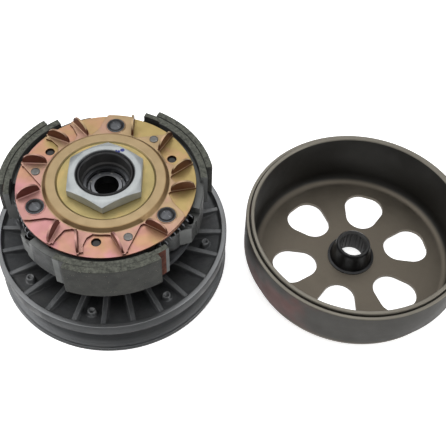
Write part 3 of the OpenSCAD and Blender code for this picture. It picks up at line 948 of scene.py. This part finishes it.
def machined_look():
    """Faced and ground metal of the belt faces, with fine turning lines round the axis."""
    look = Look("machined_face", (0.28, 0.28, 0.28), 0.9, 0.34)
    _, _, ring = look.around()
    lines = look.noise(5200, 3, 0.7, ring)
    bands = look.noise(420, 3, 0.6, ring)
    smear = look.noise(45, 4)
    color = look.mottle(bands, (0.11, 0.114, 0.118), (0.2, 0.204, 0.208))
    color = look.mix(look.step(smear, 0.45, 0.75, 0.0, 0.45), color, (0.14, 0.137, 0.13))
    look.set("Base Color", color)
    sheen = look.math("ADD", bands, look.math("MULTIPLY", smear, 0.6))
    look.set("Roughness", look.step(sheen, 0.5, 1.1, 0.26, 0.44))
    look.bump(lines, 0.025)
    return look.material


def steel_look(name, dark, light, rough, lines=4200, depth=0.012, metallic=1.0, centre=(0.0, 0.0)):
    """Turned steel: lines round the axis, uneven sheen and a painted highlight on sharp edges."""
    look = Look(name, light, metallic, rough)
    _, _, ring = look.around(centre)
    bands = look.noise(500, 4, 0.6, ring)
    smear = look.noise(70, 5, 0.6)
    color = look.ramp(look.math("ADD", look.math("MULTIPLY", bands, 0.5), look.math("MULTIPLY", smear, 0.5)),
                      (0.35, dark), (0.65, light))
    # painted highlight on sharp convex edges
    color = look.tint(color, tuple(min(1.0, c * 1.6 + 0.05) for c in light), look.edges(), 0.5)
    look.set("Base Color", color)
    look.set("Roughness", look.step(smear, 0.3, 0.7, rough * 0.8, rough * 1.3))
    look.bump(look.noise(lines, 2, 0.6, ring), depth)
    return look.material


def chromate_look(name, inner, ring_color, calm, warm, gold):
    """Yellow-passivated zinc plating: a thin iridescent film that drifts between pink, straw and green, with
    painted shade on the raised ring's slanted wall and a painted dark reflection on upright faces.
    """
    look = Look(name, calm, 0.8, 0.42)
    radius, _, _ = look.around()
    parts = look.node("ShaderNodeSeparateXYZ", {0: look.place})
    drift = look.noise(55, 4, 0.5, distortion=0.8)
    across = look.math("ADD", look.math("MULTIPLY", parts.outputs[0], 4.2),
                       look.math("MULTIPLY", parts.outputs[1], 4.6))
    tone = look.math("ADD", across, drift)
    petals = look.ramp(tone, (0.22, warm), (0.46, calm), (0.7, gold))
    film = look.step(look.noise(75, 5, 0.65, distortion=0.8), 0.48, 0.68)
    petals = look.tint(petals, gold, film, 0.2)
    centre = look.mix(look.step(look.noise(60, 4, distortion=1.2), 0.45, 0.7), inner, (0.42, 0.31, 0.13))
    color = look.mix(look.step(radius, 0.0296, 0.0302), centre, ring_color)
    # painted shade on the raised ring's slanted outer wall
    rim = look.math("MULTIPLY", look.step(radius, 0.0352, 0.0362), look.step(radius, 0.0384, 0.0376))
    color = look.tint(color, (0.2, 0.12, 0.05), rim, 0.7)
    color = look.mix(look.step(radius, 0.0378, 0.0392), color, petals)
    # painted dark reflection: faces of the fins and petals that stand upright are tinted dark red-brown
    upright = look.step(look.math("ABSOLUTE", look.height_facing()), 0.35, 0.75, 1.0, 0.0)
    brown = look.math("MULTIPLY", upright, look.step(radius, 0.0384, 0.0394))
    color = look.tint(color, (0.10, 0.028, 0.018), brown, 0.85)
    look.set("Base Color", color)
    look.set("Roughness", look.step(look.noise(160, 5), 0.3, 0.7, 0.36, 0.5))
    after = look.bump(look.noise(700, 3), 0.02)
    look.bump(look.noise(3500, 2), 0.008, after)
    return look.material


def iron_look():
    """Grey iron of the shoes, oiled and nearly black."""
    look = Look("oiled_iron", (0.07, 0.07, 0.07), 0.7, 0.5)
    patches = look.noise(85, 5, 0.6)
    color = look.mottle(patches, (0.024, 0.025, 0.025), (0.058, 0.06, 0.059))
    # painted highlight on sharp convex edges
    color = look.tint(color, (0.15, 0.155, 0.15), look.edges(0.52, 0.57), 0.55)
    look.set("Base Color", color)
    look.set("Roughness", look.step(patches, 0.3, 0.7, 0.58, 0.4))
    after = look.bump(look.noise(1000, 4, 0.6), 0.07)
    look.bump(look.noise(3000, 2), 0.03, after)
    return look.material


def lining_look():
    """Moulded friction material with pale and brassy flecks, paler where its surface faces up."""
    look = Look("friction_compound", (0.05, 0.05, 0.045), 0.0, 0.78, Specular_IOR_Level=0.35)
    patches = look.noise(120, 5, 0.65)
    color = look.mottle(patches, (0.016, 0.017, 0.015), (0.038, 0.038, 0.033))
    # paler, speckled tone on the faces that point upwards
    up = look.step(look.height_facing(), 0.55, 0.9)
    upward_tone = look.ramp(look.noise(420, 5, 0.75), (0.36, (0.03, 0.032, 0.026)), (0.64, (0.13, 0.135, 0.11)))
    color = look.tint(color, upward_tone, up, 0.85)
    flecks = look.math("MULTIPLY", look.step(look.speckle(900), 0.16, 0.05),
                       look.step(look.noise(300, 2), 0.5, 0.62))
    color = look.tint(color, (0.42, 0.38, 0.26), flecks, 0.7)
    look.set("Base Color", color)
    after = look.bump(look.noise(650, 5, 0.7), 0.12)
    look.bump(look.speckle(1600), 0.05, after)
    return look.material


def bond_look():
    """Dried red-brown bonding resin, left on the shoe at the lining's end."""
    look = Look("bonding_resin", (0.06, 0.02, 0.014), 0.0, 0.85, Specular_IOR_Level=0.15)
    grain = look.noise(260, 5, 0.7)
    look.set("Base Color", look.ramp(grain, (0.3, (0.03, 0.012, 0.009)), (0.68, (0.105, 0.034, 0.022))))
    look.bump(look.noise(700, 5, 0.7), 0.08)
    return look.material


def rubber_look():
    look = Look("moulded_rubber", (0.02, 0.02, 0.02), 0.0, 0.6)
    look.set("Base Color", look.mottle(look.noise(150, 4), (0.012, 0.012, 0.012), (0.03, 0.029, 0.028)))
    look.bump(look.noise(1800, 3), 0.02)
    return look.material


def nut_look():
    """Bright zinc, with a dab of blue inspection paint by the bore, and painted shade darkening the threaded
    bore.
    """
    look = Look("bright_zinc", (0.36, 0.38, 0.38), 0.6, 0.42)
    smear = look.noise(110, 5, 0.6)
    color = look.ramp(smear, (0.3, (0.27, 0.29, 0.295)), (0.65, (0.4, 0.42, 0.42)))
    radius, _, _ = look.around()
    # painted shade: the threaded bore darkened nearly to black
    inside = look.step(radius, 0.0181, 0.0176)
    color = look.tint(color, (0.03, 0.03, 0.033), inside, 0.92)
    dots = None
    for r, degrees, size in ((19.8, 64.5, 1.35), (18.0, 69.0, 0.9), (17.9, 74.0, 0.7)):
        x, y = polar(r, degrees)
        near = look.node("ShaderNodeVectorMath", {0: look.place, 1: (x * MM, y * MM, nut_high.z * MM)},
                         operation="DISTANCE").outputs["Value"]
        ragged = look.math("ADD", near, look.math("MULTIPLY", look.noise(900, 3), 0.0007))
        dot = look.step(ragged, (size + 0.45) * MM, (size + 0.2) * MM)
        dots = look.math("MAXIMUM", dots, dot) if dots else dot
    color = look.mix(dots, color, (0.01, 0.02, 0.16))
    look.set("Base Color", color)
    look.set("Metallic", look.step(dots, 0, 1, 0.6, 0.1))
    look.set("Roughness", look.step(smear, 0.3, 0.7, 0.34, 0.48))
    look.bump(look.noise(900, 4), 0.012)
    return look.material


def bell_look():
    """Drawn steel: brown-grey oxide on the floor, a dark rubbed track inside, a paler turned lip."""
    look = Look("drawn_steel", (0.16, 0.14, 0.12), 0.82, 0.42)
    radius, height, ring = look.around((bell_x, bell_y))
    clouds = look.noise(34, 5, 0.6)
    color = look.mottle(clouds, (0.105, 0.09, 0.07), (0.15, 0.13, 0.103))
    waves = look.step(look.noise(210, 3, 0.6, ring), 0.35, 0.65)
    color = look.tint(color, (0.09, 0.08, 0.066), waves, 0.1)
    worn = look.math("MULTIPLY", look.step(radius, 0.0612, 0.0638), look.step(radius, 0.0678, 0.0673))
    worn = look.math("MULTIPLY", worn, look.step(height, 0.0028, 0.0048))
    color = look.tint(color, (0.026, 0.026, 0.025), worn, 0.92)
    outside = look.step(radius, 0.0692, 0.0696)
    across = look.node("ShaderNodeSeparateXYZ", {0: look.place}).outputs[0]
    tint = look.math("MULTIPLY", look.step(look.noise(28, 3), 0.42, 0.6),
                     look.step(across, (bell_x - 20) * MM, (bell_x - 45) * MM))
    color = look.mix(outside, color, look.mix(tint, (0.04, 0.038, 0.034), (0.075, 0.034, 0.03)))
    lip = look.step(height, (bell_top - 0.9) * MM, (bell_top - 0.4) * MM)
    band_top = look.step(height, (band_high.z - 0.6) * MM, (band_high.z - 0.2) * MM)
    lip = look.math("MAXIMUM", lip, look.math("MULTIPLY", band_top, outside))
    color = look.mix(lip, color, (0.2, 0.185, 0.155))
    look.set("Base Color", color)
    look.set("Roughness", look.step(clouds, 0.3, 0.7, 0.44, 0.6))
    after = look.bump(look.noise(3600, 2, 0.6, ring), 0.004)
    look.bump(look.noise(500, 4), 0.02, after)
    return look.material


def oxide_look():
    """Black-oxided steel."""
    look = Look("black_oxide_steel", (0.02, 0.02, 0.02), 0.6, 0.38)
    color = look.mottle(look.noise(160, 5), (0.010, 0.010, 0.011), (0.026, 0.026, 0.026))
    # painted highlight on sharp convex edges
    color = look.tint(color, (0.12, 0.12, 0.12), look.edges(0.54, 0.62), 0.35)
    look.set("Base Color", color)
    look.set("Roughness", look.step(look.noise(260, 4), 0.3, 0.7, 0.32, 0.5))
    look.bump(look.noise(1400, 4), 0.02)
    return look.material


# ---------------------------------------------------------------- camera and light

def make_camera():
    """Looks down at the parts from the front, as a product photographer stands."""
    down, roll = math.radians(54.086), math.radians(2.624)
    ahead = Vector((0, math.cos(down), -math.sin(down)))
    up = Vector((0, math.sin(down), math.cos(down)))
    right = Vector((1, 0, 0))
    across = right * math.cos(roll) + up * math.sin(roll)
    upright = up * math.cos(roll) - right * math.sin(roll)
    camera = bpy.data.cameras.new("camera")
    camera.sensor_width = 36.0
    camera.lens = 69.59
    holder = bpy.data.objects.new("camera", camera)
    holder.matrix_world = Matrix.Translation((0.07149, -0.32205, 0.48430)) @ Matrix(
        (across, upright, -ahead)).transposed().to_4x4()
    bpy.context.scene.collection.objects.link(holder)
    bpy.context.scene.camera = holder


def make_light(name, at, towards, width, height, power):
    light = bpy.data.lights.new(name, "AREA")
    light.shape = "RECTANGLE"
    light.size, light.size_y = width, height
    light.energy = power
    holder = bpy.data.objects.new(name, light)
    holder.location = at
    holder.rotation_euler = (Vector(towards) - Vector(at)).to_track_quat("-Z", "Y").to_euler()
    bpy.context.scene.collection.objects.link(holder)


def make_studio():
    """White floor, soft overhead light and a dim room around them."""
    world = bpy.data.worlds.new("studio")
    bpy.context.scene.world = world
    world.use_nodes = True
    tree = world.node_tree
    direction = tree.nodes.new("ShaderNodeTexCoord").outputs["Generated"]
    parts = tree.nodes.new("ShaderNodeSeparateXYZ")
    tree.links.new(direction, parts.inputs[0])
    sky = tree.nodes.new("ShaderNodeValToRGB")
    tree.links.new(parts.outputs[2], sky.inputs["Fac"])
    stops = ((0.0, 0.16), (0.35, 0.30), (0.62, 0.62), (1.0, 0.85))
    points = sky.color_ramp.elements
    while len(points) < len(stops):
        points.new(0.5)
    for point, (at, level) in zip(points, stops):
        point.position = at
        point.color = (level, level, level, 1)
    back = tree.nodes["Background"]
    tree.links.new(sky.outputs["Color"], back.inputs["Color"])
    back.inputs["Strength"].default_value = 1.0

    make_light("softbox_over", (-0.1, 0.25, 1.1), (0.06, 0, 0.03), 1.3, 1.3, 7)
    make_light("softbox_left", (-0.9, -0.1, 0.5), (0, 0, 0.04), 0.5, 0.8, 3)
    make_light("softbox_right", (0.95, -0.25, 0.45), (0.06, 0, 0.03), 0.35, 0.7, 2.5)

    size = 6.0
    corners = ((-1, -1), (1, -1), (1, 1), (-1, 1))
    floor = from_mesh("floor", [(x * size / MM, y * size / MM, 0.0) for x, y in corners], [(0, 1, 2, 3)],
                      smooth=False)
    look = Look("paper_floor", (0.9, 0.9, 0.9), 0.0, 0.9, Emission_Color=(1, 1, 1, 1), Emission_Strength=0.68)
    look.set("Base Color", look.mottle(look.noise(3, 3), (0.88, 0.88, 0.88), (0.92, 0.92, 0.92)))
    floor.data.materials.append(look.material)
    bpy.context.scene.view_settings.view_transform = "Standard"


# ---------------------------------------------------------------- assembly

def place(piece, body, slot, look, *nodes):
    """Puts a finished piece on its body, in its material, in the place of CAD nodes."""
    if look:
        piece.data.materials.clear()
        piece.data.materials.append(look)
    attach(piece, body)
    if nodes:
        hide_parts(*nodes)
    return piece


def keep(node, look, edge=0.0):
    """Gives a CAD node that stays its material, and eases its sharp edges."""
    obj = frame["nodes"][node]
    for s in obj.material_slots:
        s.material = look
    if edge:
        bevel = obj.modifiers.new("edges", "BEVEL")
        bevel.width = edge * MM
        bevel.segments = 2
        bevel.limit_method = "ANGLE"
        bevel.angle_limit = math.radians(40)
        bevel.harden_normals = True


def face_material(obj, look, chosen):
    """Adds a second material on the faces whose centre, in mm, and normal are chosen."""
    obj.data.materials.append(look)
    index = len(obj.data.materials) - 1
    for face in obj.data.polygons:
        if chosen(face.center / MM, face.normal):
            face.material_index = index


def on_bond(at, degrees):
    """Whether a point is on a shoe's outer face, within a few degrees of a direction."""
    off = (math.degrees(math.atan2(at.y, at.x)) - degrees + 180) % 360 - 180
    return math.hypot(at.x, at.y) > RIM_OUT - 0.18 and abs(off) < BOND_REACH


make_camera()
make_studio()

cast, machined = cast_look(), machined_look()
turned_steel = steel_look("turned_steel", (0.34, 0.345, 0.35), (0.52, 0.525, 0.53), 0.22)
dark_steel = steel_look("dark_steel", (0.05, 0.052, 0.056), (0.1, 0.103, 0.11), 0.36, depth=0.006)
# painted shade: a darker copy of the turned steel for the sheaves' upright outer walls
shaded_rim_steel = steel_look("shaded_rim_steel", (0.022, 0.023, 0.024), (0.05, 0.052, 0.054), 0.45, depth=0.008)
dull_steel = steel_look("dull_steel", (0.11, 0.107, 0.102), (0.17, 0.167, 0.16), 0.45, depth=0.006)
iron, lining, bond, rubber, black_oxide = iron_look(), lining_look(), bond_look(), rubber_look(), oxide_look()
olive, tan = (0.33, 0.265, 0.115), (0.32, 0.235, 0.13)
fan_film = chromate_look("chromate_fan", olive, tan, (0.4, 0.24, 0.18), (0.44, 0.23, 0.21), (0.35, 0.25, 0.14))
plate_film = chromate_look("chromate_plate", olive, tan, (0.43, 0.235, 0.15), (0.46, 0.22, 0.22),
                           (0.36, 0.27, 0.11))

movable = place(make_movable_sheave(), "movable_sheave", "cast_sheave", cast, "movable_sheave")
face_material(movable, machined, lambda at, n: n.z < -0.5 or math.hypot(at.x, at.y) > sheave_r - 3.1)
# painted shade on the movable sheave's upright outer wall
face_material(movable, shaded_rim_steel, lambda at, n: abs(n.z) < 0.6 and math.hypot(at.x, at.y) > sheave_r - 0.6)
fixed = place(make_fixed_sheave(), "hub", "cast_sheave", cast, "fixed_sheave")
face_material(fixed, machined, lambda at, n: n.z > 0.5)
# painted shade on the fixed sheave's upright outer wall
face_material(fixed, shaded_rim_steel, lambda at, n: abs(n.z) < 0.6 and math.hypot(at.x, at.y) > sheave_r - 2)
tube = place(make_hub_tube(), "hub", "turned_steel", turned_steel, "hub_tube")
face_material(tube, black_oxide, lambda at, n: at.z > shoe_high.z)
# painted shade: the tube's bore is given the black rubber look
face_material(tube, rubber, lambda at, n: math.hypot(at.x, at.y) < 15.3 and at.z < tube_top - 1)

torque_spring, return_springs = make_springs()
place(torque_spring, "hub", "dark_steel", dark_steel, "main_spring")
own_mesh(torque_spring)

for number, turn in enumerate(THIRDS, 1):
    body = f"shoe_{number}"
    shoe = place(make_shoe(number, turn), body, "shoe_iron", iron, f"clutch_shoe_{number}")
    face_material(shoe, lining, lambda at, n: n.z > 0.8 and at.z > shoe_high.z - 0.4)
    face_material(shoe, bond, lambda at, n, centre=pivot_angle + turn + BOND_AT: on_bond(at, centre))
    place(make_lining(number, turn), body, "friction_lining", lining, f"lining_{number}")
    place(return_springs[number - 1], body, "zinc_steel", dark_steel, f"return_spring_{number}")

place(make_front_plate(), "hub", "gold_zinc", plate_film, "front_plate")
place(make_fan_plate(), "hub", "gold_zinc", fan_film, "fan_plate")
pins = place(make_pivot_pins(), "hub", "dark_steel", dark_steel, "pivot_pins")
face_material(pins, black_oxide, lambda at, n: at.z < fan_top + 0.7 or n.z < 0.8)
place(make_rivets(), "hub", "dark_steel", dull_steel, "plate_rivets")
place(make_nut(), "hub", "zinc_steel", nut_look(), "clutch_nut")

bell_steel = bell_look()
place(make_bell_drum(), "bell", "bell_steel", bell_steel, "bell_drum")
place(make_bell_band(), "bell", "bell_steel", bell_steel, "bell_band")
hub = place(make_bell_hub(), "bell", "black_oxide", black_oxide, "bell_hub")
# painted shade: the splined bore is given the black rubber look
face_material(hub, rubber, lambda at, n: math.hypot(at.x - bell_x, at.y - bell_y) < 9.0)

for node in ("cam_guide_pins", "needle_bearing_cup", "cam_sleeve"):
    keep(node, turned_steel, 0.12)
for node in ("ball_bearing_outer_ring", "ball_bearing_inner_ring"):
    keep(node, dark_steel, 0.12)
for node in ("bearing_balls", "needle_rollers"):
    keep(node, dull_steel)
for node in ("bearing_cage", "bearing_circlip"):
    keep(node, dark_steel)
for node in ("seal_collar", "lower_spring_seat", "upper_spring_seat", "clutch_carrier"):
    keep(node, dark_steel, 0.25)
for node in ("shaft_seal", "collar_o_rings", "grease_seals", "rubber_dampers", "damper_posts"):
    keep(node, rubber)
